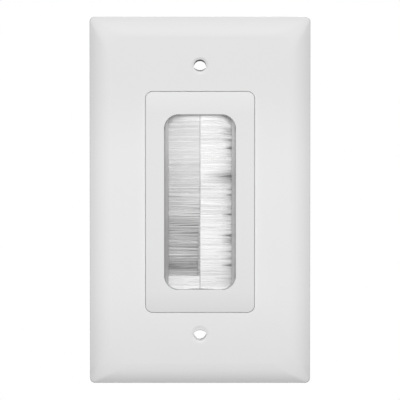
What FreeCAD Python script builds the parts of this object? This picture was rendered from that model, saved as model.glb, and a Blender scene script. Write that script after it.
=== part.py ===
import FreeCAD, Part
import math
import os

# Single-gang wall plate with a brush cable window, in millimetres.
# The front faces -Y, +X is to the right and +Z is up. Y = 0 is the wall that the plate's rim rests on.

# Wall plate: a hollow moulding with a crowned front
plate_width = 68.8
plate_height = 114.3
plate_depth = 5.8
plate_corner_radius = 1.5
plate_front_wall = 2.2
plate_rim_wall = 1.8
crown_radius = 10.5
crown_run = 6.4
crown_corner_radius = 6.0  # at the flat front, opening from the outline's corner
rim_edge_round = 0.5
hollow_corner_radius = 0.8

# Wall screw holes, each in a soft dimple at the front and a boss at the back
screw_spacing = 83.3
screw_hole_diameter = 3.9
dimple_diameter = 5.4
dimple_depth = 0.25
dimple_edge_round = 0.4
boss_diameter = 7.0
boss_setback = 0.3
rib_thickness = 1.0
rib_height = 2.0

# Insert: a framed moulding that fills the plate's opening
insert_width = 33.8
insert_height = 68.6
insert_corner_radius = 2.2
insert_drop = 0.6  # it sits this far below the plate's middle
insert_proud = 0.7
insert_end_radius = 34.0
insert_flat_margin = 0.8
insert_edge_round = 0.3
insert_front_wall = 3.5
insert_side_wall = 1.5
insert_end_wall = 1.5
insert_tail = 1.0
seam_gap = 0.1
seam_edge_chamfer = 0.15
flange_lip = 1.9
flange_thickness = 1.4

# Cable window: upright ends and corners, and flat sides drafted inwards towards the brush
window_width = 22.1
window_height = 54.3
window_corner_radius = 4.4
window_draft = 1.2
window_edge_chamfer = 0.12

# Low fence that locates the insert's flange on the plate's back, and the hooks that hold it there
fence_wall = 0.9
fence_height = 1.2
flange_clearance = 0.25
hook_offset = 20.0
hook_width = 6.0
hook_leg = 1.2
hook_catch = 0.7
hook_catch_height = 1.3
hook_land_share = 0.25
hook_seat_clearance = 0.05

# Strip brushes: folded channel, core wire and bristles
channel_width = 4.0
channel_thickness = 3.0
channel_sheet = 0.5
channel_bend_radius = 0.8
channel_overrun = 2.5
channel_clearance = 0.1
core_wire_diameter = 1.0
bristle_clearance = 0.02
bristle_tip_thickness = 1.3
bristle_meeting_gap = 0.12
bristle_ragged = 0.05
lock_pitch = 0.7
lock_split = 0.07
tuft_notch = 0.3
tuft_flare = 2.8
lock_slit_share = 0.6

# Rear frame that closes the brush seats, and the tongues that snap over it
retainer_thickness = 1.6
retainer_corner_radius = 1.0
retainer_clearance = 0.15
retainer_window_margin = 0.2
retainer_edge_chamfer = 0.4
tongue_offset = 16.0
tongue_width = 5.0
tongue_length = 3.4
tongue_slot = 0.9
tongue_catch = 0.7
tongue_catch_height = 0.8
tongue_seat_clearance = 0.05

# Depths along Y, from the front to the back
plate_front = -plate_depth
plate_floor = plate_front + plate_front_wall
flange_back = plate_floor + flange_thickness
insert_front = plate_front - insert_proud
brush_seat = insert_front + insert_front_wall
brush_middle = brush_seat + channel_thickness / 2
retainer_seat = brush_seat + channel_thickness
retainer_back = retainer_seat + retainer_thickness
insert_back = retainer_back + insert_tail

# Spans across X and Z that several pieces share
opening_width = insert_width + 2 * seam_gap
opening_height = insert_height + 2 * seam_gap
opening_corner_radius = insert_corner_radius + seam_gap
flange_width = insert_width + 2 * flange_lip
flange_height = insert_height + 2 * flange_lip
flange_corner_radius = insert_corner_radius + flange_lip
pocket_width = insert_width - 2 * insert_side_wall
channel_length = window_height + 2 * channel_overrun
cavity_height = channel_length + 2 * channel_clearance
cavity_corner_radius = 3 * channel_clearance  # tight enough to clear a channel's square end
throat_width = window_width - 2 * window_draft
retainer_pocket_height = insert_height - 2 * insert_end_wall
channel_back = pocket_width / 2 - channel_clearance
channel_mouth = channel_back - channel_width
bristle_root_thickness = channel_thickness - 2 * channel_sheet - 2 * bristle_clearance
wire_offset = channel_back - channel_sheet - bristle_clearance - bristle_root_thickness / 2


def vector(x, y, z):
    return FreeCAD.Vector(x, y, z)


def rounded_rectangle(width, height, radius, y):
    """Closed wire in the plane of the wall, centred on the Y axis."""
    x = width / 2
    z = height / 2
    corner = radius * (1 - math.sqrt(0.5))
    sides = [
        Part.LineSegment(vector(-x + radius, y, -z), vector(x - radius, y, -z)),
        Part.Arc(vector(x - radius, y, -z), vector(x - corner, y, -z + corner), vector(x, y, -z + radius)),
        Part.LineSegment(vector(x, y, -z + radius), vector(x, y, z - radius)),
        Part.Arc(vector(x, y, z - radius), vector(x - corner, y, z - corner), vector(x - radius, y, z)),
        Part.LineSegment(vector(x - radius, y, z), vector(-x + radius, y, z)),
        Part.Arc(vector(-x + radius, y, z), vector(-x + corner, y, z - corner), vector(-x, y, z - radius)),
        Part.LineSegment(vector(-x, y, z - radius), vector(-x, y, -z + radius)),
        Part.Arc(vector(-x, y, -z + radius), vector(-x + corner, y, -z + corner), vector(-x + radius, y, -z)),
    ]
    return Part.Wire([side.toShape() for side in sides])


def slab(width, height, radius, front, back):
    """Rounded rectangle carried from one depth to another."""
    return Part.Face(rounded_rectangle(width, height, radius, front)).extrude(vector(0, back - front, 0))


def block(low, high):
    """Box between two opposite corners."""
    return Part.makeBox(high[0] - low[0], high[1] - low[1], high[2] - low[2], vector(*low))


def upright_prism(outline, length, middle=0):
    """Closed outline of (x, y) points carried along Z, centred at a height."""
    bottom = middle - length / 2
    points = [vector(x, y, bottom) for x, y in outline]
    return Part.Face(Part.makePolygon(points + points[:1])).extrude(vector(0, 0, length))


def arched_bar(half_span, arc_radius, arc_run, front, back, length, upright):
    """Bar with a flat front that rolls off in a tangent arc towards both of its long edges."""
    def place(across, y):
        if upright:
            return vector(across, y, -length / 2)
        return vector(-length / 2, y, across)

    half_turn = math.asin(arc_run / arc_radius) / 2
    flat = half_span - arc_run
    bend = flat + arc_radius * math.sin(half_turn)
    bend_depth = front + arc_radius * (1 - math.cos(half_turn))
    edge_depth = front + arc_radius * (1 - math.cos(2 * half_turn))
    sides = [
        Part.LineSegment(place(-half_span, back), place(half_span, back)),
        Part.LineSegment(place(half_span, back), place(half_span, edge_depth)),
        Part.Arc(place(half_span, edge_depth), place(bend, bend_depth), place(flat, front)),
        Part.LineSegment(place(flat, front), place(-flat, front)),
        Part.Arc(place(-flat, front), place(-bend, bend_depth), place(-half_span, edge_depth)),
        Part.LineSegment(place(-half_span, edge_depth), place(-half_span, back)),
    ]
    direction = vector(0, 0, length) if upright else vector(length, 0, 0)
    return Part.Face(Part.Wire([side.toShape() for side in sides])).extrude(direction)


def crowned_slab(width, height, corner_radius, arc_radius, arc_run, front, back):
    """Slab whose front rolls off towards all four sides, with a mitre at each corner."""
    body = slab(width, height, corner_radius, front, back)
    body = body.common(arched_bar(width / 2, arc_radius, arc_run, front, back, height, True))
    body = body.common(arched_bar(height / 2, arc_radius, arc_run, front, back, width, False))
    return body.Solids[0]


def crown_corner(width, height, rim_radius, flat_radius, arc_radius, arc_run, front, back):
    """Rounded corner of a crown at +X and +Z, and the space it takes up in a mitred slab.

    Its front is one patch with the same profile as the crown's sides. In plan it turns at rim_radius round the
    outline, and opens to flat_radius where it meets the flat front.
    """
    half_turn = math.asin(arc_run / arc_radius) / 2
    profile = [
        (0, arc_radius * (1 - math.cos(2 * half_turn)), 1),
        (arc_run - arc_radius * math.tan(half_turn), 0, math.cos(half_turn)),
        (arc_run, 0, 1),
    ]
    rows = []
    for inset, drop, _ in profile:
        radius = rim_radius + (flat_radius - rim_radius) * inset / arc_run
        x = width / 2 - inset
        z = height / 2 - inset
        rows.append([vector(x, front + drop, z - radius), vector(x, front + drop, z),
                     vector(x - radius, front + drop, z)])
    poles = [[row[column] for row in rows] for column in range(3)]
    weights = [[turn * weight for _, _, weight in profile] for turn in (1, math.sqrt(0.5), 1)]
    surface = Part.BSplineSurface()
    surface.buildFromPolesMultsKnots(poles, [3, 3], [3, 3], [0, 1], [0, 1], False, False, 2, 2, weights)

    def path(*points):
        return [Part.LineSegment(start, end).toShape() for start, end in zip(points, points[1:])]

    def behind(point):
        return vector(point.x, back, point.z)

    def wall(edges, start, end):
        return Part.Face(Part.Wire(edges + path(end, behind(end), behind(start), start)))

    side_rim, _, end_rim = rows[0]
    side_flat, _, end_flat = rows[2]
    inner = vector(end_flat.x, front, side_flat.z)
    rim_arc = surface.vIso(0).toShape()
    rim_depth = vector(0, back - side_rim.y, 0)
    back_outline = [behind(point) for point in (end_rim, end_flat, inner, side_flat, side_rim)]
    shell = Part.makeShell([
        surface.toShape(),
        wall([surface.uIso(0).toShape()], side_rim, side_flat),
        wall([surface.uIso(1).toShape()], end_rim, end_flat),
        wall(path(side_flat, inner), side_flat, inner),
        wall(path(inner, end_flat), inner, end_flat),
        rim_arc.extrude(rim_depth),
        Part.Face(Part.Wire([surface.vIso(1).toShape()] + path(end_flat, inner, side_flat))),
        Part.Face(Part.Wire([rim_arc.translated(rim_depth)] + path(*back_outline))),
    ])
    shell.sewShape()

    outside = [vector(width, back, side_rim.z), vector(width, back, height), vector(end_rim.x, back, height)]
    outline = [behind(side_rim)] + outside + back_outline
    space = Part.Face(Part.makePolygon(outline)).extrude(vector(0, front - back, 0))
    return Part.makeSolid(shell), space


def at_four_corners(shape):
    """The shape and its mirror images to the left and below."""
    origin = vector(0, 0, 0)
    pair = [shape, shape.mirror(origin, vector(1, 0, 0))]
    return pair + [half.mirror(origin, vector(0, 0, 1)) for half in pair]


def soft_crowned_slab(width, height, rim_radius, flat_radius, arc_radius, arc_run, front, back):
    """Slab whose front rolls off towards all four sides, with a rounded corner in place of each mitre."""
    body = crowned_slab(width, height, rim_radius, arc_radius, arc_run, front, back)
    corner, space = crown_corner(width, height, rim_radius, flat_radius, arc_radius, arc_run, front, back)
    body = body.cut(at_four_corners(space)).multiFuse(at_four_corners(corner))
    return body.removeSplitter().Solids[0]


def edges_on(shape, width, height, radius, deepest, shallowest):
    """Edges that run round a rounded rectangle's wall between two depths."""
    tolerance = 1e-4
    found = []
    for edge in shape.Edges:
        if edge.BoundBox.YMin < deepest - tolerance or edge.BoundBox.YMax > shallowest + tolerance:
            continue
        middle = edge.valueAt((edge.FirstParameter + edge.LastParameter) / 2)
        outline = rounded_rectangle(width, height, radius, middle.y)
        if Part.Vertex(middle).distToShape(outline)[0] < tolerance:
            found.append(edge)
    return found


def snap_hook(inner_face, leg, catch, root, catch_depth, catch_height):
    """Outline of a hook on the +X side whose ramped catch points towards the middle."""
    tip = catch_depth + catch_height
    return [
        (inner_face, root),
        (inner_face + leg, root),
        (inner_face + leg, tip),
        (inner_face, tip),
        (inner_face - catch, catch_depth + catch_height * hook_land_share),
        (inner_face - catch, catch_depth),
        (inner_face, catch_depth),
    ]


def both_sides(outline, length, offset):
    """Four prisms of one outline: on the right and left, above and below the middle."""
    mirrored = [(-x, y) for x, y in outline]
    prisms = []
    for height in (-offset, offset):
        prisms.append(upright_prism(outline, length, height))
        prisms.append(upright_prism(mirrored, length, height))
    return prisms


def is_circle(edge, radius, y):
    """True for a round edge of a given radius that lies at a depth."""
    tolerance = 1e-4
    curve = edge.Curve
    if not isinstance(curve, Part.Circle):
        return False
    return abs(curve.Radius - radius) < tolerance and abs(curve.Center.y - y) < tolerance


def upright_edges(shape, x):
    """Edges along Z that stand at one place across X."""
    tolerance = 1e-4
    return [edge for edge in shape.Edges
            if edge.BoundBox.XLength < tolerance and edge.BoundBox.YLength < tolerance
            and abs(edge.CenterOfMass.x - x) < tolerance]


def lowered(shape):
    """The shape moved down to the height of the insert."""
    other = shape.copy()
    other.translate(vector(0, 0, -insert_drop))
    return other


def flared_mouth(width, height, radius, flare, front):
    """Space of a narrow chamfer round the mouth of an opening."""
    mouth = rounded_rectangle(width + 2 * flare, height + 2 * flare, radius + flare, front)
    throat = rounded_rectangle(width, height, radius, front + flare)
    return Part.makeLoft([mouth, throat], True, True)


def make_opening():
    """Space that the insert goes into, with its edge broken at the front."""
    size = (opening_width, opening_height, opening_corner_radius)
    return lowered(slab(*size, plate_front, 0).fuse(flared_mouth(*size, seam_edge_chamfer, plate_front)))


def make_window():
    """Space of the cable window, with its edge broken at the front."""
    size = (window_width, window_height, window_corner_radius)
    mouth = insert_front + window_edge_chamfer
    drafted = [
        (-window_width / 2, mouth),
        (window_width / 2, mouth),
        (throat_width / 2, brush_seat),
        (-throat_width / 2, brush_seat),
    ]
    space = slab(*size, mouth, brush_seat).common(upright_prism(drafted, window_height))
    return space.fuse(flared_mouth(*size, window_edge_chamfer, insert_front))


def make_wall_plate():
    """Hollow crowned moulding with the insert opening, screw bosses, ribs, flange fence and hooks."""
    body = soft_crowned_slab(plate_width, plate_height, plate_corner_radius, crown_corner_radius,
                             crown_radius, crown_run, plate_front, 0)
    rim_front = plate_front + crown_radius - math.sqrt(crown_radius ** 2 - crown_run ** 2)
    rim_edge = edges_on(body, plate_width, plate_height, plate_corner_radius, rim_front, rim_front)
    body = body.makeFillet(rim_edge_round, rim_edge)

    hollow_width = plate_width - 2 * plate_rim_wall
    hollow_height = plate_height - 2 * plate_rim_wall
    hollow = crowned_slab(hollow_width, hollow_height, hollow_corner_radius, crown_radius - plate_front_wall,
                          crown_run - plate_rim_wall, plate_floor, 0)
    body = body.cut(hollow).cut(make_opening())

    additions = []
    screw_heights = (-screw_spacing / 2, screw_spacing / 2)
    for height in screw_heights:
        additions.append(Part.makeCylinder(boss_diameter / 2, -boss_setback - plate_floor,
                                           vector(0, plate_floor, height), vector(0, 1, 0)))
        additions.append(block((-hollow_width / 2, plate_floor, height - rib_thickness / 2),
                               (hollow_width / 2, plate_floor + rib_height, height + rib_thickness / 2)))
    fence_inside = (flange_width + 2 * flange_clearance, flange_height + 2 * flange_clearance,
                    flange_corner_radius + flange_clearance)
    fence_outside = [size + 2 * fence_wall for size in fence_inside[:2]] + [fence_inside[2] + fence_wall]
    fence_back = plate_floor + fence_height
    fence = slab(*fence_outside, plate_floor, fence_back).cut(slab(*fence_inside, plate_floor, fence_back))
    additions.append(lowered(fence))
    hook = snap_hook(fence_inside[0] / 2, hook_leg, flange_clearance + hook_catch,
                     plate_floor, flange_back + hook_seat_clearance, hook_catch_height)
    additions += [lowered(prism) for prism in both_sides(hook, hook_width, hook_offset)]
    body = body.multiFuse(additions)

    for height in screw_heights:
        front_point = vector(0, plate_front, height)
        dimple = Part.makeCone(dimple_diameter / 2, screw_hole_diameter / 2, dimple_depth,
                               front_point, vector(0, 1, 0))
        bore = Part.makeCylinder(screw_hole_diameter / 2, plate_depth, front_point, vector(0, 1, 0))
        body = body.cut(dimple.fuse(bore))
    dimple_rims = [edge for edge in body.Edges if is_circle(edge, dimple_diameter / 2, plate_front)]
    return body.makeFillet(dimple_edge_round, dimple_rims)


def make_brush_insert():
    """Framed moulding with a rolled-off front, a drafted window, brush seats, a flange and snap tongues."""
    end_run = (insert_height - window_height) / 2 - insert_flat_margin
    end_drop = insert_end_radius - math.sqrt(insert_end_radius ** 2 - end_run ** 2)
    body = slab(insert_width, insert_height, insert_corner_radius, insert_front, insert_back)
    body = body.common(arched_bar(insert_height / 2, insert_end_radius, end_run, insert_front, insert_back,
                                  insert_width, False)).Solids[0]
    front_edge = edges_on(body, insert_width, insert_height, insert_corner_radius,
                          insert_front, insert_front + end_drop)
    body = body.makeFillet(insert_edge_round, front_edge)
    body = body.fuse(slab(flange_width, flange_height, flange_corner_radius, plate_floor, flange_back))

    brush_cavity = slab(pocket_width, cavity_height, cavity_corner_radius, brush_seat, retainer_seat)
    retainer_pocket = slab(pocket_width, retainer_pocket_height, retainer_corner_radius + retainer_clearance,
                           retainer_seat, insert_back)
    body = body.cut(brush_cavity).cut(retainer_pocket).cut(make_window())

    tongue_root = insert_back - tongue_length
    slot_middle = (tongue_width + tongue_slot) / 2
    slot = [
        (pocket_width / 2, tongue_root),
        (insert_width / 2, tongue_root),
        (insert_width / 2, insert_back),
        (pocket_width / 2, insert_back),
    ]
    for offset in (tongue_offset - slot_middle, tongue_offset + slot_middle):
        for cut in both_sides(slot, tongue_slot, offset):
            body = body.cut(cut)
    tongue = snap_hook(pocket_width / 2, insert_side_wall, tongue_catch, tongue_root,
                       retainer_back + tongue_seat_clearance, tongue_catch_height)
    return body.multiFuse(both_sides(tongue, tongue_width, tongue_offset)).removeSplitter()


def make_brush_retainer():
    """Flat frame that closes the brush seats from behind, with its edge broken where cables run."""
    frame = slab(pocket_width - 2 * retainer_clearance, retainer_pocket_height - 2 * retainer_clearance,
                 retainer_corner_radius, retainer_seat, retainer_back)
    width = throat_width + 2 * retainer_window_margin
    height = window_height + 2 * retainer_window_margin
    radius = window_corner_radius + retainer_window_margin
    frame = frame.cut(slab(width, height, radius, retainer_seat, retainer_back))
    cable_edge = edges_on(frame, width, height, radius, retainer_back, retainer_back)
    return frame.makeChamfer(retainer_edge_chamfer, cable_edge)


def make_brush_channel():
    """Sheet folded to a U round the bristles of the left strip, with its mouth towards the window."""
    half_length = channel_length / 2
    outer = block((-channel_back, brush_seat, -half_length), (-channel_mouth, retainer_seat, half_length))
    outer = outer.makeFillet(channel_bend_radius, upright_edges(outer, -channel_back))
    inner_back = -channel_back + channel_sheet
    inner = block((inner_back, brush_seat + channel_sheet, -half_length),
                  (-channel_mouth, retainer_seat - channel_sheet, half_length))
    inner = inner.makeFillet(channel_bend_radius - channel_sheet, upright_edges(inner, inner_back))
    return outer.cut(inner)


def make_core_wire():
    """Wire along the left channel, which the bristles are folded round."""
    return Part.makeCylinder(core_wire_diameter / 2, channel_length,
                             vector(-wire_offset, brush_middle, -channel_length / 2), vector(0, 0, 1))


def bristle_outline():
    """Front outline of the left bristles: tufts with an open notch at the root, each split into two locks."""
    count = 2 * round(channel_length / lock_pitch / 2)
    pitch = channel_length / count
    half_split = lock_split / 2
    flare = -channel_mouth + tuft_flare
    slit_end = -bristle_meeting_gap / 2 - lock_slit_share * channel_mouth
    golden_share = (math.sqrt(5) - 1) / 2

    def tip(lock):
        return -bristle_meeting_gap / 2 - bristle_ragged * (lock * golden_share % 1)

    points = [(-wire_offset, -channel_length / 2), (tip(0), -channel_length / 2)]
    for lock in range(1, count):
        height = -channel_length / 2 + lock * pitch
        points.append((tip(lock - 1), height - half_split))
        if lock % 2:
            points.append((slit_end, height))
        else:
            points.append((flare, height - half_split))
            points.append((-channel_mouth, height - tuft_notch))
            points.append((-channel_mouth, height + tuft_notch))
            points.append((flare, height + half_split))
        points.append((tip(lock), height + half_split))
    points += [(tip(count - 1), channel_length / 2), (-wire_offset, channel_length / 2)]
    return points


def make_bristles():
    """Bristles of the left strip: folded round the core wire, then thinning in tufts towards the middle."""
    root = bristle_root_thickness / 2
    tip = bristle_tip_thickness / 2
    front = [vector(x, brush_middle - root, z) for x, z in bristle_outline()]
    tufts = Part.Face(Part.makePolygon(front + front[:1])).extrude(vector(0, 2 * root, 0))
    taper = [
        (-wire_offset, brush_middle - root),
        (-channel_mouth, brush_middle - root),
        (0, brush_middle - tip),
        (0, brush_middle + tip),
        (-channel_mouth, brush_middle + root),
        (-wire_offset, brush_middle + root),
    ]
    tufts = tufts.common(upright_prism(taper, channel_length))
    foot = vector(-wire_offset, brush_middle, -channel_length / 2)
    fold = Part.makeCylinder(root, channel_length, foot, vector(0, 0, 1))
    bore = Part.makeCylinder(core_wire_diameter / 2 + bristle_clearance, channel_length, foot, vector(0, 0, 1))
    return tufts.fuse(fold).cut(bore).removeSplitter()


def turned(shape):
    """The left strip's piece turned round to face it from the right."""
    other = shape.copy()
    other.rotate(vector(0, 0, 0), vector(0, 1, 0), 180)
    return other


channel = make_brush_channel()
core_wire = make_core_wire()
bristles = make_bristles()

parts = {
    "wall_plate": make_wall_plate(),
    "brush_insert": lowered(make_brush_insert()),
    "brush_retainer": lowered(make_brush_retainer()),
    "left_brush_channel": lowered(channel),
    "right_brush_channel": lowered(turned(channel)),
    "left_core_wire": lowered(core_wire),
    "right_core_wire": lowered(turned(core_wire)),
    "left_bristles": lowered(bristles),
    "right_bristles": lowered(turned(bristles)),
}

os.makedirs("parts", exist_ok=True)
for name, shape in parts.items():
    shape.exportStep("parts/" + name + ".step")
    print(name, shape.isValid(), len(shape.Solids), round(shape.Volume, 1))
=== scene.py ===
"""Single-gang wall plate with a brush cable window, dressed for rendering.

Lengths are in metres. The front faces -Y, and up is +Z.
"""
import math
import random

import bpy
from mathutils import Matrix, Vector


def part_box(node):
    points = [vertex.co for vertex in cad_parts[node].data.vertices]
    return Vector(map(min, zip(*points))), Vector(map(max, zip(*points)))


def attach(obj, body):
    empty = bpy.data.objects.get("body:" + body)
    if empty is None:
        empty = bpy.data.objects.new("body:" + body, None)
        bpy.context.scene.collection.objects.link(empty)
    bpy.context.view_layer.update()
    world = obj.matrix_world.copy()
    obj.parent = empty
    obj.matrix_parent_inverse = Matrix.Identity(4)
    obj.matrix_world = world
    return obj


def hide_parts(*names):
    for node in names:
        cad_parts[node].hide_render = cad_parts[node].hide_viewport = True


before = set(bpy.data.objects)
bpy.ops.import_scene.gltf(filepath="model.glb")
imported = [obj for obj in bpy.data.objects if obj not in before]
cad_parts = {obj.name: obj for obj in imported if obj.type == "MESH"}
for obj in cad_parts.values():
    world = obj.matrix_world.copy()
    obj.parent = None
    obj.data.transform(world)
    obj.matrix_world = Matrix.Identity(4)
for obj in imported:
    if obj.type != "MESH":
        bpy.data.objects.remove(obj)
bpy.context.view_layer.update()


# Wall plate: one injection moulding in white plastic with a satin grain from the tool.
# Its crowned front covers the wall box, its rim rests on the wall, and two screws hold it there.
class Shade:
    """One socket of a material. Arithmetic on it adds Math nodes, and node() adds any other kind."""

    def __init__(self, socket):
        self.socket = socket

    def fill(self, made, sockets):
        """Links or sets inputs of a node that is in the same material."""
        for name, value in sockets.items():
            if isinstance(value, Shade):
                self.socket.id_data.links.new(value.socket, made.inputs[name])
            else:
                made.inputs[name].default_value = value

    def node(self, kind, settings, sockets, output=0):
        """One output of a new node of this kind."""
        made = self.socket.id_data.nodes.new("ShaderNode" + kind)
        for name, value in settings.items():
            setattr(made, name, value)
        self.fill(made, sockets)
        return Shade(made.outputs[output])

    def math(self, operation, first, second):
        """Result of a Math node."""
        return self.node("Math", {"operation": operation}, {0: first, 1: second})

    def blend(self, low, high):
        """Colour between two others, by this value.

        A Mix node has sockets for each type of data: 6 and 7 take its colours, and output 2 gives one.
        """
        ends = [end if isinstance(end, Shade) else (*end, 1) for end in (low, high)]
        return self.node("Mix", {"data_type": "RGBA"}, {0: self, 6: ends[0], 7: ends[1]}, 2)

    def noise(self, scale, detail=2.0):
        """Cloudy value about one half, over these coordinates."""
        return self.node("TexNoise", {}, {"Vector": self, "Scale": scale, "Detail": detail})

    def stretch(self, scale):
        """These coordinates, scaled apart along the three axes."""
        return self.node("Mapping", {}, {"Vector": self, "Scale": scale})

    def part(self, axis):
        """One of these coordinates."""
        return self.node("SeparateXYZ", {}, {"Vector": self}, axis)

    def ramp(self, start, end):
        """Soft rise from 0 where this value is start to 1 where it is end."""
        ends = {"Value": self, "From Min": start, "From Max": end}
        return self.node("MapRange", {"interpolation_type": "SMOOTHSTEP"}, ends)

    def bump(self, distance):
        """Normal of a relief with this value as its height."""
        return self.node("Bump", {}, {"Height": self, "Strength": 1.0, "Distance": distance})

    def at_least(self, limit):
        """This value, or limit where that is more."""
        return self.math("MAXIMUM", self, limit)

    def below(self, limit):
        """1 where this value is less than limit, and 0 elsewhere."""
        return self.math("LESS_THAN", self, limit)

    def __abs__(self):
        return self.math("ABSOLUTE", self, 0.0)

    def __add__(self, other):
        return self.math("ADD", self, other)

    def __radd__(self, other):
        return self.math("ADD", other, self)

    def __sub__(self, other):
        return self.math("SUBTRACT", self, other)

    def __rsub__(self, other):
        return self.math("SUBTRACT", other, self)

    def __mul__(self, other):
        return self.math("MULTIPLY", self, other)

    def __rmul__(self, other):
        return self.math("MULTIPLY", other, self)

    def __truediv__(self, other):
        return self.math("DIVIDE", self, other)

    def __rtruediv__(self, other):
        return self.math("DIVIDE", other, self)


def new_finish(name):
    """New material, its shader and the coordinates of the surface in metres."""
    material = bpy.data.materials.new(name)
    material.use_nodes = True
    tree = material.node_tree
    place = Shade(tree.nodes.new("ShaderNodeTexCoord").outputs["Object"])
    return material, tree.nodes["Principled BSDF"], place


def grey(tone):
    """Neutral colour of this tone."""
    return (tone, tone, tone)


cloud_scale = 70.0
cloud_detail = 3.0
cloud_tone = 0.975
cloud_roughness = 0.08
grain_scale = 3200.0
grain_share = 0.35
grain_roughness = 0.12
ripple_scale = 260.0
satin_gloss = 0.25


def moulded_plastic(name, colour, roughness, grain_depth, layers=(), relief=None):
    """Satin moulding: faint flow clouds in the colour, and a fine grain over a soft ripple.

    layers lists the tones laid over the colour, each as a mask over the surface and its own
    colour. relief gives the height of a broad form under the grain, in metres.
    """
    material, shader, place = new_finish(name)
    clouds = place.noise(cloud_scale, cloud_detail)
    grain = place.noise(grain_scale)
    ripple = place.noise(ripple_scale)
    tint = clouds.blend([cloud_tone * part for part in colour], colour)
    for mask, layer_colour in layers:
        tint = mask(place).blend(tint, layer_colour)
    surface = grain_depth * (grain_share * grain + ripple)
    if relief:
        surface = surface + relief(place)
    place.fill(shader, {
        "Base Color": tint,
        "Roughness": roughness + grain_roughness * (grain - 0.5) + cloud_roughness * (clouds - 0.5),
        "Specular IOR Level": satin_gloss,
        "Normal": surface.bump(1.0),
    })
    return material


def dress(node, material):
    """Gives a CAD node its finish."""
    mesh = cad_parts[node].data
    mesh.materials.clear()
    mesh.materials.append(material)


plate_white = grey(0.88)
# Painted shade, not the plastic's colour: the plate, its lips and the insert are painted darker towards
# their ends.
painted_end_shade = grey(0.6)
# Painted shade on the outer walls of the screw holes and on the lips' free edges.
painted_hole_shade = grey(0.22)
front_grain = 0.000012
crown_radius = 0.0105
flat_half_width = 0.0280
flat_half_height = 0.05075
corner_relief = 0.45
plate_end_share = 0.23
plate_top = (0.010, 0.040)
plate_bottom = (-0.024, -0.054)
facing_down = (-0.3, 0.0)
screw_offset = 0.04165
bore_wall = 0.00198
bore_edge = 0.00212
bore_shade_start = 0.0004
lower_bore_share = 0.55
lower_to_upper = (-0.01, 0.01)


def roll_off(offset, flat):
    """Depth by which the crown falls at this offset from the middle, past its flat front."""
    past = (abs(offset) - flat).at_least(0.0)
    return past * past / (2 * crown_radius)


def crown_corners(place):
    """Relief that lets the roll of the sides and of the ends both run on round the corners."""
    side = roll_off(place.part("X"), flat_half_width)
    end = roll_off(place.part("Z"), flat_half_height)
    return -corner_relief * side * end / (side + end)


def painted_plate_end_shade(place):
    """Share of the painted shade towards the plate's ends, apart from where its front rolls off
    downwards.
    """
    up = place.part("Z")
    facing = place.node("NewGeometry", {}, {}, "Normal").part("Z")
    return plate_end_share * (up.ramp(*plate_top) + up.ramp(*plate_bottom) * facing.ramp(*facing_down))


def painted_bore_shade(place):
    """Share of the painted shade in the screw holes, on the side of each that is away from the plate's
    middle.

    It paints shade on the top of the upper hole, and less on the bottom of the lower one, which faces
    the light.
    """
    across = place.part("X")
    up = place.part("Z")
    rise = abs(up) - screw_offset
    spread = across * across + rise * rise
    wall = spread.ramp(bore_edge ** 2, bore_wall ** 2)
    outward = rise.ramp(bore_shade_start, bore_wall)
    return wall * outward * (lower_bore_share + (1 - lower_bore_share) * up.ramp(*lower_to_upper))


plate_layers = ((painted_plate_end_shade, painted_end_shade), (painted_bore_shade, painted_hole_shade))
plate_finish = moulded_plastic(
    "plate_plastic", plate_white, roughness=0.5, grain_depth=front_grain, layers=plate_layers,
    relief=crown_corners)
dress("wall_plate", plate_finish)


# Screw lips: thin crescents of the plate's own plastic that the mould leaves in the screw holes,
# one in the upper hole and two in the lower.
# They hold a loose screw in the plate until it is turned in, and make the holes oval.
lip_steps = 16
lip_radius = 0.00196
lip_half_width = 0.0019
lip_end = math.sqrt(lip_radius ** 2 - lip_half_width ** 2)
lip_thickness = 0.0003
lip_set_back = 0.00028
lip_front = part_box("wall_plate")[0].y + lip_set_back
lip_edge_shades = (0.1, 0.85)
lip_points, lip_faces, lip_shades = [], [], []


def screw_lip(height, side, reach, shade):
    """One crescent in the hole at this height, above its middle where side is +1, below it where -1.

    reach is how far its free edge stands from the hole's middle, and shade is how dark the painted
    shade on that edge is.
    """
    first = len(lip_points)
    for step in range(lip_steps + 1):
        share = 2 * step / lip_steps - 1
        across = lip_half_width * share
        outer = math.sqrt(lip_radius ** 2 - across ** 2)
        inner = lip_end + (reach - lip_end) * (1 - share ** 2)
        for depth, radius in ((0, outer), (0, inner), (1, inner), (1, outer)):
            lip_points.append((across, lip_front + depth * lip_thickness, height + side * radius))
            lip_shades.append(shade if radius == inner else 0.0)
    for row in range(first, len(lip_points) - 4, 4):
        for corner in range(4):
            beside = (corner + 1) % 4
            face = (row + corner, row + beside, row + 4 + beside, row + 4 + corner)
            lip_faces.append(face[::side])


def painted_lip_edge_shade(place):
    """Share of the painted shade along the lips' free edge."""
    shade = place.node("Attribute", {"attribute_name": "shade"}, {}, "Fac")
    return shade.ramp(*lip_edge_shades)


screw_lip(screw_offset, side=-1, reach=0.00125, shade=1.0)
screw_lip(-screw_offset, side=1, reach=0.00122, shade=0.5)
screw_lip(-screw_offset, side=-1, reach=0.00166, shade=0.6)
lip_mesh = bpy.data.meshes.new("screw_lips")
lip_mesh.from_pydata(lip_points, [], lip_faces)
lip_mesh.attributes.new("shade", "FLOAT", "POINT").data.foreach_set("value", lip_shades)
# The lips take the plate's painted end shade, and painted shade along their free edge.
lip_layers = ((painted_plate_end_shade, painted_end_shade), (painted_lip_edge_shade, painted_hole_shade))
lip_mesh.materials.append(moulded_plastic(
    "lip_plastic", plate_white, roughness=0.6, grain_depth=front_grain, layers=lip_layers))
lips = bpy.data.objects.new("screw_lips", lip_mesh)
bpy.context.scene.collection.objects.link(lips)
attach(lips, "root")


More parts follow.
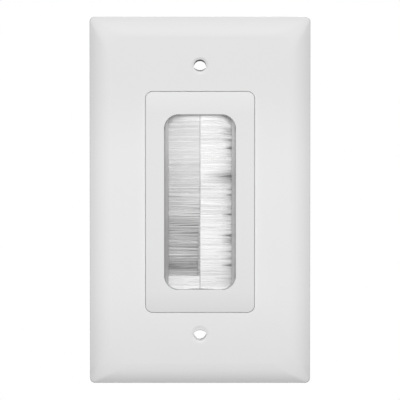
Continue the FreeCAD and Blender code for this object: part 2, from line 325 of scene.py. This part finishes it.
# Insert: a second white moulding, pushed into the plate's opening from behind and held by its flange.
# It frames the cable window, and its drafted side walls lead cables in to the brush.
insert_white = grey(0.84)
# Painted shade, not the plastic's colour: the window's walls, its mouth, its corners and the sill under
# the brush are painted grey.
painted_wall_shade = grey(0.3)
insert_low, insert_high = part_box("brush_insert")
insert_middle = (insert_low.z + insert_high.z) / 2
insert_face = insert_low.y
insert_top = (0.016, 0.040)
insert_top_share = 0.14
insert_bottom = (-0.010, -0.030)
insert_bottom_share = 0.06
window_half_width = 0.0111
window_half_height = 0.0273
wall_front = (0.00002, 0.00006)
wall_back = (0.0036, 0.0032)
wall_share = 0.28
wall_top = (0.007, 0.022)
wall_top_loss = 0.2
mouth_line = (0.0011, 0.0005)
mouth_share = 0.67
sill_share = 0.67
sill_shade_height = 0.01
window_corner_across = (0.0060, 0.0076)
window_corner_along = (0.0212, 0.0232)
corner_gain = 0.33


def painted_insert_end_shade(place):
    """Share of the painted shade towards the insert's ends."""
    up = place.part("Z")
    return insert_top_share * up.ramp(*insert_top) + insert_bottom_share * up.ramp(*insert_bottom)


def painted_window_wall_shade(place):
    """Share of the painted shade on the window's walls.

    It is strongest in a line along the mouth and in the corners, and least towards the top. The sill is
    painted with shade only under the brush.
    """
    across = abs(place.part("X"))
    up = place.part("Z")
    offset = abs(up - insert_middle)
    depth = place.part("Y") - insert_face
    opening = across.below(window_half_width) * offset.below(window_half_height)
    walls = opening * depth.ramp(*wall_front) * depth.ramp(*wall_back)
    mouth = depth.ramp(*mouth_line)
    corner = across.ramp(*window_corner_across) * offset.ramp(*window_corner_along)
    low_half = up.ramp(insert_middle, insert_middle - sill_shade_height)
    sill = across.ramp(*reversed(window_corner_across)) * low_half
    behind_mouth = wall_share - wall_top_loss * up.ramp(*wall_top)
    on_sides = behind_mouth + mouth * (mouth_share + corner_gain * corner - behind_mouth)
    on_sill = sill_share * (1.0 - mouth)
    return walls * (on_sides + sill * (on_sill - on_sides))


insert_layers = ((painted_insert_end_shade, painted_end_shade), (painted_window_wall_shade, painted_wall_shade))
insert_finish = moulded_plastic(
    "insert_plastic", insert_white, roughness=0.48, grain_depth=front_grain, layers=insert_layers)
dress("brush_insert", insert_finish)


# Strip brush channels and core wires: aluminium sheet folded to a U, closed over a drawn steel wire.
# The channel grips the bristles that are folded round the wire, and sits in the insert's side seat.
line_stretch = (1.0, 1.0, 0.02)
line_scale = 6000.0
line_detail = 3.0
line_tone = 0.85
line_roughness = 0.2
line_depth = 0.000008


def drawn_metal(name, colour, roughness):
    """Bare metal with fine lines along its length."""
    material, shader, place = new_finish(name)
    lines = place.stretch(line_stretch).noise(line_scale, line_detail)
    place.fill(shader, {
        "Base Color": lines.blend([line_tone * part for part in colour], colour),
        "Roughness": roughness + line_roughness * (lines - 0.5),
        "Metallic": 1.0,
        "Normal": lines.bump(line_depth),
    })
    return material


channel_finish = drawn_metal("channel_metal", (0.74, 0.75, 0.76), roughness=0.36)
wire_finish = drawn_metal("core_wire_steel", grey(0.58), roughness=0.3)
for side in ("left", "right"):
    dress(side + "_brush_channel", channel_finish)
    dress(side + "_core_wire", wire_finish)


# Bristles: white nylon filaments folded round the core wire, which fan out of the channel in tufts.
# The strips are trimmed straight and meet in the middle. The lower left tufts have been pushed inwards.
streak_stretch = (0.04, 1.0, 1.0)
streak_scale = 5000.0
streak_tone = 0.05
streak_roughness = 0.1
nylon_roughness = 0.34
nylon_gloss = 0.8
nylon_glow = 0.10


def nylon_filament(name):
    """Bright, fairly smooth nylon whose tone differs from filament to filament, and carries painted
    shade.

    Its faint glow is painted light that stands for the light that passes through the filaments.
    """
    material, shader, place = new_finish(name)
    tone = place.node("Attribute", {"attribute_name": "tone"}, {}, "Fac")
    streaks = place.stretch(streak_stretch).noise(streak_scale)
    place.fill(shader, {
        "Base Color": (tone + streak_tone * (streaks - 0.5)).blend(grey(0.0), grey(1.0)),
        "Roughness": nylon_roughness + streak_roughness * (streaks - 0.5),
        "Specular IOR Level": nylon_gloss,
        "Emission Color": (tone * tone).blend(grey(0.0), grey(1.0)),
        "Emission Strength": nylon_glow,
    })
    return material


def smooth_step(value, start, end):
    """0 up to start, 1 beyond end and an even turn between them, whichever of the two is the higher."""
    share = min(max((value - start) / (end - start), 0.0), 1.0)
    return share * share * (3 - 2 * share)


wave_count = 6
wave_lengths = (0.004, 0.025)


def wander(draw, size):
    """Smooth random function of a height, made of a few waves."""
    waves = [(2 * math.pi / draw.uniform(*wave_lengths), draw.uniform(0, 2 * math.pi))
             for _ in range(wave_count)]

    def offset(height):
        waved = sum(math.sin(rate * height + phase) for rate, phase in waves)
        return size * waved / math.sqrt(wave_count / 2)

    return offset


tube_sides = 4


def tube(path, path_tones, radius, points, faces, tones):
    """Adds a thin tube with a flat end, along a path that runs mostly across the window."""
    first = len(points)
    for (x, y, z), tone in zip(path, path_tones):
        for corner in range(tube_sides):
            turn = 2 * math.pi * (corner + 0.5) / tube_sides
            points.append((x, y + radius * math.cos(turn), z + radius * math.sin(turn)))
            tones.append(tone)
    for ring in range(first, len(points) - tube_sides, tube_sides):
        ahead = ring + tube_sides
        for corner in range(tube_sides):
            beside = (corner + 1) % tube_sides
            faces.append((ring + corner, ring + beside, ahead + beside, ahead + corner))
    points.extend(points[-tube_sides:])
    tones.extend(tones[-tube_sides:])
    faces.append(tuple(range(len(points) - tube_sides, len(points))))


# How the filaments lie. Layers run from -1 at the strip's front to +1 at its back, and rings are
# distances from the channel's mouth.
filament_radius = 0.00008
filament_layers = (-1.0, -0.8, -0.6, -0.4, 0.1, 0.5, 0.8, 1.0)
rear_layer = 0.2
front_rings = (-0.0015, 0.0004, 0.0012, 0.0021, 0.0032, 0.0048, 0.0070)
rear_rings = (-0.0015, 0.0004, 0.0024, 0.0060)
tip_gather = 0.2
lean_reach = 0.0085
slant_size = 0.00012
drift_size = 0.00004
trim_gap = 0.00008
front_trim = (0.0, 0.00006)
rear_overlap = (0.0002, 0.0008)
lock_widths = (0.00025, 0.0007)
lock_overrun = 0.0001
lock_skew_share = 0.002
lock_gather = 3.5
filament_pitch = 1.6 * filament_radius
tone_spread = 0.012
tone_spread_gain = 0.2
layer_spread = 0.008
layer_spread_gain = 0.28
stray_count = 60
stray_span = 0.46
stray_radius = 0.7 * filament_radius
stray_layer = -1.1
stray_trim = (0.0, 0.004)
stray_skew = 0.0007

# Where they part: at gaps between tufts, over the sill and in the topmost tuft.
split_range = 5
split_fade = 1.2
rear_split_count = 30
rear_split_widths = (0.0001, 0.0005)
rear_split_reaches = (0.002, 0.005)
sill_gap = 0.0005
sill_gap_fade = 0.0006
sill_gap_start = 0.003
splay_start = 0.0175
splay_height = 0.0095
splay_limit = 1.02
splay_turn = (0.0008, 0.0052)

# Where shade is painted on them: at the roots, at the rear's tips and in the window's upper corner.
root_fade = (0.0008, 0.0048)
rear_root = 0.3
rear_root_gain = 0.6
rear_root_end = (0.017, 0.021)
front_root_end = (0.0225, 0.025)
rear_tip = 0.6
streak_range = 2
shaded_corner_height = 0.0230
shaded_corner_reach = 0.0010
shaded_corner_slope = 0.69
shaded_corner_edge = (-0.0004, 0.0006)
bristle_finish = nylon_filament("bristle_nylon")


def strip_of_bristles(side, seed, lean, shade, contrast, splits, streaks, front_root, splay,
                      corner_shade):
    """The filaments of the left or right strip, layer by layer from the front.

    lean, shade and contrast give the push into the wall, the tone with its painted shade and its
    spread by height over the window's middle. splits lists the height, width and reach of gaps that
    open at the roots, and streaks lists the same and a depth for painted shadow at the roots.
    front_root is the tone of the painted shade at the front's roots, splay is the topmost tuft's
    rise, and corner_shade is the painted shade in the window's upper corner.
    """
    node = side + "_bristles"
    direction = 1 if side == "left" else -1
    draw = random.Random(seed)
    low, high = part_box(node)
    channel_low, channel_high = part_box(side + "_brush_channel")
    mouth = channel_high.x if direction > 0 else channel_low.x
    length = high.z - low.z
    middle_height = (low.z + high.z) / 2
    middle_depth = (low.y + high.y) / 2
    half_depth = (high.y - low.y) / 2 - filament_radius
    slant = wander(draw, slant_size)
    drift = wander(draw, drift_size)
    trimmed = abs(mouth) - trim_gap
    points, faces, tones = [], [], []

    def rings(layer, end):
        """Distances from the channel's mouth at which a filament has its points."""
        return (front_rings if layer < 0 else rear_rings) + (end,)

    def path_of(height, layer, gaps, rise, end, skew):
        """Points along a filament, from inside the channel to its trimmed end."""
        near = [gap for gap in gaps if abs(height - gap[0]) < split_range * gap[1]]
        path = []
        for out in rings(layer, end):
            share = max(out, 0.0) / end
            up = height - rise * (1 - smooth_step(out, *splay_turn))
            for split, width, reach in near:
                push = 0.5 * width * (1 - smooth_step(out, 0.0, reach))
                fade = math.exp(-abs(height - split) / (split_fade * width))
                up += math.copysign(push * fade, height - split)
            up += (slant(height) + skew) * share
            if height > -window_half_height:
                opened = math.exp(-(height + window_half_height) / sill_gap_fade)
                up += sill_gap * opened * smooth_step(out, sill_gap_start, trimmed)
            back = middle_depth + half_depth * layer * (1 - tip_gather * share)
            back += lean(height) * smooth_step(out, 0.0, lean_reach) + drift(height) * share
            path.append((mouth + direction * out, back, middle_height + up))
        return path

    def tones_of(height, layer, end, tone):
        """Tones along a filament, one for each point of its path, with painted shade at the roots and
        their streaks, the rear's tips and the upper corner.
        """
        if layer > 0:
            root_tone = rear_root + rear_root_gain * smooth_step(height, *rear_root_end)
            dark = []
        else:
            root_tone = front_root + (1 - front_root) * smooth_step(height, *front_root_end)
            dark = [streak for streak in streaks if abs(height - streak[0]) < streak_range * streak[1]]
        corner_edge = shaded_corner_reach + shaded_corner_slope * (height - shaded_corner_height)
        along = []
        for out in rings(layer, end):
            light = root_tone + (1 - root_tone) * smooth_step(out, *root_fade)
            light *= 1 - corner_shade * smooth_step(corner_edge - out, *shaded_corner_edge)
            for streak, width, reach, depth in dark:
                taper = max(1 - out / reach, 0.0)
                light *= 1 - depth * taper * math.exp(-((height - streak) / width) ** 2)
            if layer > 0 and out == end:
                light = rear_tip
            along.append(tone * light)
        return along

    def filament(height, layer, gaps, rise, end, radius, tone, skew):
        path = path_of(height, layer, gaps, rise, end, skew)
        tube(path, tones_of(height, layer, end, tone), radius, points, faces, tones)

    rear_splits = [(draw.uniform(-0.5, 0.5) * length, draw.uniform(*rear_split_widths),
                    draw.uniform(*rear_split_reaches))
                   for _ in range(rear_split_count)]

    # Each layer is made of locks, a few filaments that share a tone and a skew. Where the topmost
    # tuft splays, the front filaments above the window's top are left out.
    for layer in filament_layers:
        if layer < 0:
            gaps = splits
        elif layer > rear_layer:
            gaps = rear_splits
        else:
            gaps = []
        start = -length / 2
        while start < length / 2:
            width = min(draw.uniform(*lock_widths), length / 2 - start + lock_overrun)
            middle = start + width / 2
            spread = contrast(middle)
            lock_tone = shade(middle) * (1 + spread * draw.gauss(0.0, 1.0))
            lock_skew = draw.gauss(0.0, lock_skew_share * spread)
            count = max(round(width / filament_pitch), 1)
            for order in range(count):
                height = min(start + (order + draw.uniform(0.0, 1.0)) * width / count, length / 2)
                skew = lock_skew + lock_gather * spread * (middle - height)
                tone = lock_tone * (1 + draw.gauss(0.0, tone_spread + tone_spread_gain * spread))
                if layer < 0:
                    rise = splay * max(height - splay_start, 0.0) / splay_height
                    end = trimmed - draw.uniform(*front_trim)
                else:
                    rise = 0.0
                    end = trimmed + draw.uniform(*rear_overlap)
                if rise < splay_limit * splay or splay == 0.0:
                    depth = layer + draw.gauss(0.0, layer_spread + layer_spread_gain * spread)
                    filament(height, depth, gaps, rise, end, filament_radius, tone, skew)
            start += width

    # A few loose filaments, finer and shorter than the rest, stray over the front.
    for _ in range(stray_count):
        height = draw.uniform(-stray_span, stray_span) * length
        end = trimmed - draw.uniform(*stray_trim)
        tone = shade(height) * (1 + contrast(height) * draw.gauss(1.0, 1.0))
        skew = draw.gauss(0.0, stray_skew)
        filament(height, stray_layer, splits, 0.0, end, stray_radius, tone, skew)

    name = side + "_bristle_strip"
    mesh = bpy.data.meshes.new(name)
    mesh.from_pydata(points, [], faces)
    mesh.polygons.foreach_set("use_smooth", [True] * len(mesh.polygons))
    mesh.attributes.new("tone", "FLOAT", "POINT").data.foreach_set("value", tones)
    mesh.materials.append(bristle_finish)
    piece = bpy.data.objects.new(name, mesh)
    bpy.context.scene.collection.objects.link(piece)
    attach(piece, "root")
    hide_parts(node)


tuft_pitch = 0.0014
tuft_shift = 0.0002
tufts_each_way = 21


def root_splits(seed, widths, reaches):
    """Gaps between the tufts along a strip, of random width and reach."""
    draw = random.Random(seed)
    splits = []
    for tuft in range(-tufts_each_way, tufts_each_way + 1):
        height = tuft * tuft_pitch + draw.gauss(0.0, tuft_shift)
        splits.append((height, draw.uniform(*widths), draw.uniform(*reaches)))
    return splits


def steps(height, changes):
    """Sum of soft changes, each listed as its size and the heights where it starts and ends."""
    return sum(size * smooth_step(height, start, end) for size, start, end in changes)


top_push = -0.0009
top_tufts = (0.012, 0.0268)
left_lean_at_rest = -0.0020
left_push = 0.0024
pushed_tufts = (0.002, -0.0195)
last_tuft = (-0.0229, -0.0233)
# The left strip's tones are painted shade: a darker base than the right's, rises towards the top and
# falls downwards.
left_tone = 0.85
left_rises = ((0.02, 0.013, 0.018), (0.05, 0.0235, 0.0262))
left_falls = ((0.08, 0.014, 0.009), (0.08, 0.006, -0.002), (0.155, -0.0045, -0.0068),
              (0.18, -0.0186, -0.0194), (-0.13, -0.0209, -0.0217))
last_tuft_gain = 0.04
left_even = 0.014
left_uneven = 0.1
uneven_tufts = (0.006, -0.004)
right_lean_at_rest = -0.0021
right_tone = 1.0
right_falls = ((0.08, 0.013, -0.002), (0.05, -0.0205, -0.0215))
right_uneven = 0.035


def top_lean(height):
    """Push by which the topmost tufts of both strips stand further out."""
    return top_push * smooth_step(height, *top_tufts)


def sprung_back(height):
    """1 in the last tuft at the bottom of the left strip, which isn't pushed in, and 0 above it."""
    return smooth_step(height, *last_tuft)


def left_lean(height):
    """The left tufts are pushed in ever more, down to the last."""
    pushed_in = smooth_step(height, *pushed_tufts) * (1 - sprung_back(height))
    return left_lean_at_rest + left_push * pushed_in + top_lean(height)


def left_shade(height):
    """Painted shade: the left tufts are painted darker downwards as they go in, down to the last, and a
    little lighter towards the top.
    """
    last = sprung_back(height)
    fall = steps(height, left_falls)
    return left_tone + steps(height, left_rises) - fall * (1 - last) + last_tuft_gain * last


def left_contrast(height):
    """The tufts that are pushed in are the uneven ones."""
    return left_even + left_uneven * smooth_step(height, *uneven_tufts) * (1 - sprung_back(height))


def right_lean(height):
    """The right tufts all lean alike, up to the topmost."""
    return right_lean_at_rest + top_lean(height)


def right_shade(height):
    """The right tufts are bright, and a little less so downwards."""
    return right_tone - steps(height, right_falls)


def right_contrast(height):
    """The right tufts are as uneven at every height."""
    return right_uneven


left_splits = root_splits(5, widths=(0.00001, 0.00004), reaches=(0.003, 0.008))
left_splits += [(0.0041, 0.00025, 0.014), (0.0019, 0.0002, 0.012), (-0.0088, 0.0002, 0.009)]
# Painted shadow at the roots, each listed as height, width, reach and depth.
left_painted_root_shadows = [(-0.0202, 0.0009, 0.0080, 0.4)]
right_splits = root_splits(6, widths=(0.0001, 0.0004), reaches=(0.002, 0.004))
right_splits += [
    (0.0224, 0.0006, 0.005), (0.0169, 0.0006, 0.005), (0.0080, 0.0009, 0.0075),
    (0.0022, 0.0005, 0.0045), (-0.0039, 0.0005, 0.005), (-0.0104, 0.0006, 0.006),
    (-0.0198, 0.0005, 0.0055),
]
# Painted shadow at the roots, each listed as height, width, reach and depth.
right_painted_root_shadows = [
    (0.0229, 0.0010, 0.0045, 0.5), (0.0215, 0.0003, 0.0060, 0.6), (0.0194, 0.0006, 0.0045, 0.7),
    (0.0169, 0.0010, 0.0035, 0.7), (0.0148, 0.0003, 0.0040, 0.5), (0.0120, 0.0003, 0.0050, 0.4),
    (0.0079, 0.0019, 0.0100, 0.6), (0.0039, 0.0004, 0.0035, 0.7), (0.0021, 0.0004, 0.0035, 0.7),
    (0.0008, 0.0004, 0.0030, 0.6), (-0.0020, 0.0004, 0.0035, 0.6), (-0.0039, 0.0005, 0.0045, 0.55),
    (-0.0104, 0.0004, 0.0055, 0.6), (-0.0120, 0.0013, 0.0045, 0.6), (-0.0155, 0.0003, 0.0040, 0.4),
    (-0.0176, 0.0004, 0.0040, 0.6), (-0.0198, 0.0005, 0.0045, 0.7), (-0.0240, 0.0003, 0.0030, 0.4),
]
strip_of_bristles(
    "left", 11, left_lean, left_shade, left_contrast, left_splits, left_painted_root_shadows,
    front_root=0.9, splay=0.0, corner_shade=0.1)
strip_of_bristles(
    "right", 23, right_lean, right_shade, right_contrast, right_splits, right_painted_root_shadows,
    front_root=0.72, splay=0.0010, corner_shade=0.25)


# Rear frame: a flat white moulding without the front's polish, snapped in behind both strips.
# It closes the brush seats, and its broken edge is what cables bear on inside the wall.
retainer_white = (0.82, 0.82, 0.81)
dress("brush_retainer", moulded_plastic(
    "retainer_plastic", retainer_white, roughness=0.55, grain_depth=0.00002))


# Room: a pale floor below the plate, white surroundings, and soft light from the front and from behind.
# The plate is a little above the floor, as it is in use.
floor_height = -0.2
floor_half_width = 2.0
floor_front = -1.6
floor_back = 0.55
floor_greys = (grey(0.52), grey(0.56))
floor_roughness = 0.8
floor_glow = 0.32
floor_patches = 3.0
floor_mesh = bpy.data.meshes.new("floor")
floor_corners = [
    (-floor_half_width, floor_front, floor_height),
    (floor_half_width, floor_front, floor_height),
    (floor_half_width, floor_back, floor_height),
    (-floor_half_width, floor_back, floor_height),
]
floor_mesh.from_pydata(floor_corners, [], [(0, 1, 2, 3)])
floor = bpy.data.objects.new("floor", floor_mesh)
# The floor throws no light back on to the plate, so that the crown keeps its shading.
floor.visible_diffuse = False
bpy.context.scene.collection.objects.link(floor)
floor_finish, floor_shader, floor_place = new_finish("floor_paint")
floor_place.fill(floor_shader, {
    "Base Color": floor_place.noise(floor_patches).blend(*floor_greys),
    "Roughness": floor_roughness,
    "Emission Color": (1.0, 1.0, 1.0, 1.0),
    "Emission Strength": floor_glow,
})
floor_mesh.materials.append(floor_finish)

# The surroundings look white, but light the plate only a little.
ambient = 0.15
world = bpy.data.worlds.new("surroundings")
world.use_nodes = True
bpy.context.scene.world = world
backdrop = world.node_tree.nodes["Background"]
seen = Shade(world.node_tree.nodes.new("ShaderNodeLightPath").outputs["Is Camera Ray"])
seen.fill(backdrop, {"Color": (1.0, 1.0, 1.0, 1.0), "Strength": ambient + (1.0 - ambient) * seen})


def softbox(name, place, width, height, power):
    """Rectangular lamp that faces the plate."""
    lamp = bpy.data.lights.new(name, "AREA")
    lamp.shape = "RECTANGLE"
    lamp.size = width
    lamp.size_y = height
    lamp.energy = power
    stand = bpy.data.objects.new(name, lamp)
    stand.location = place
    stand.visible_camera = False
    stand.rotation_euler = (-Vector(place)).to_track_quat("-Z", "Y").to_euler()
    bpy.context.scene.collection.objects.link(stand)


softbox("upper_softbox", place=(0.0, -0.75, 1.3), width=0.9, height=0.7, power=1.2)
softbox("front_softbox", place=(0.0, -2.4, 0.9), width=1.95, height=1.5, power=58.5)
softbox("rear_softbox", place=(0.4, 1.2, 0.8), width=0.8, height=0.6, power=18.0)


# Camera: square on to the plate and a little above its middle, as the photograph was taken.
# Its lens gives the outline of the plate the size that it has in the photograph.
photo_size = 400
metres_per_pixel = 0.312 / 1000
camera_distance = 0.43
camera_rise = math.radians(1.0)
outline_depth = -0.0037
camera = bpy.data.cameras.new("camera")
camera.sensor_width = 36.0
view_width = photo_size * metres_per_pixel
camera.lens = camera.sensor_width * (camera_distance + outline_depth) / view_width
viewpoint = bpy.data.objects.new("camera", camera)
camera_back = camera_distance * math.cos(camera_rise)
camera_up = camera_distance * math.sin(camera_rise)
viewpoint.location = (0.0, -camera_back, camera_up)
viewpoint.rotation_euler = (math.pi / 2 - camera_rise, 0.0, 0.0)
bpy.context.scene.collection.objects.link(viewpoint)
bpy.context.scene.camera = viewpoint
bpy.context.scene.view_settings.view_transform = "Standard"
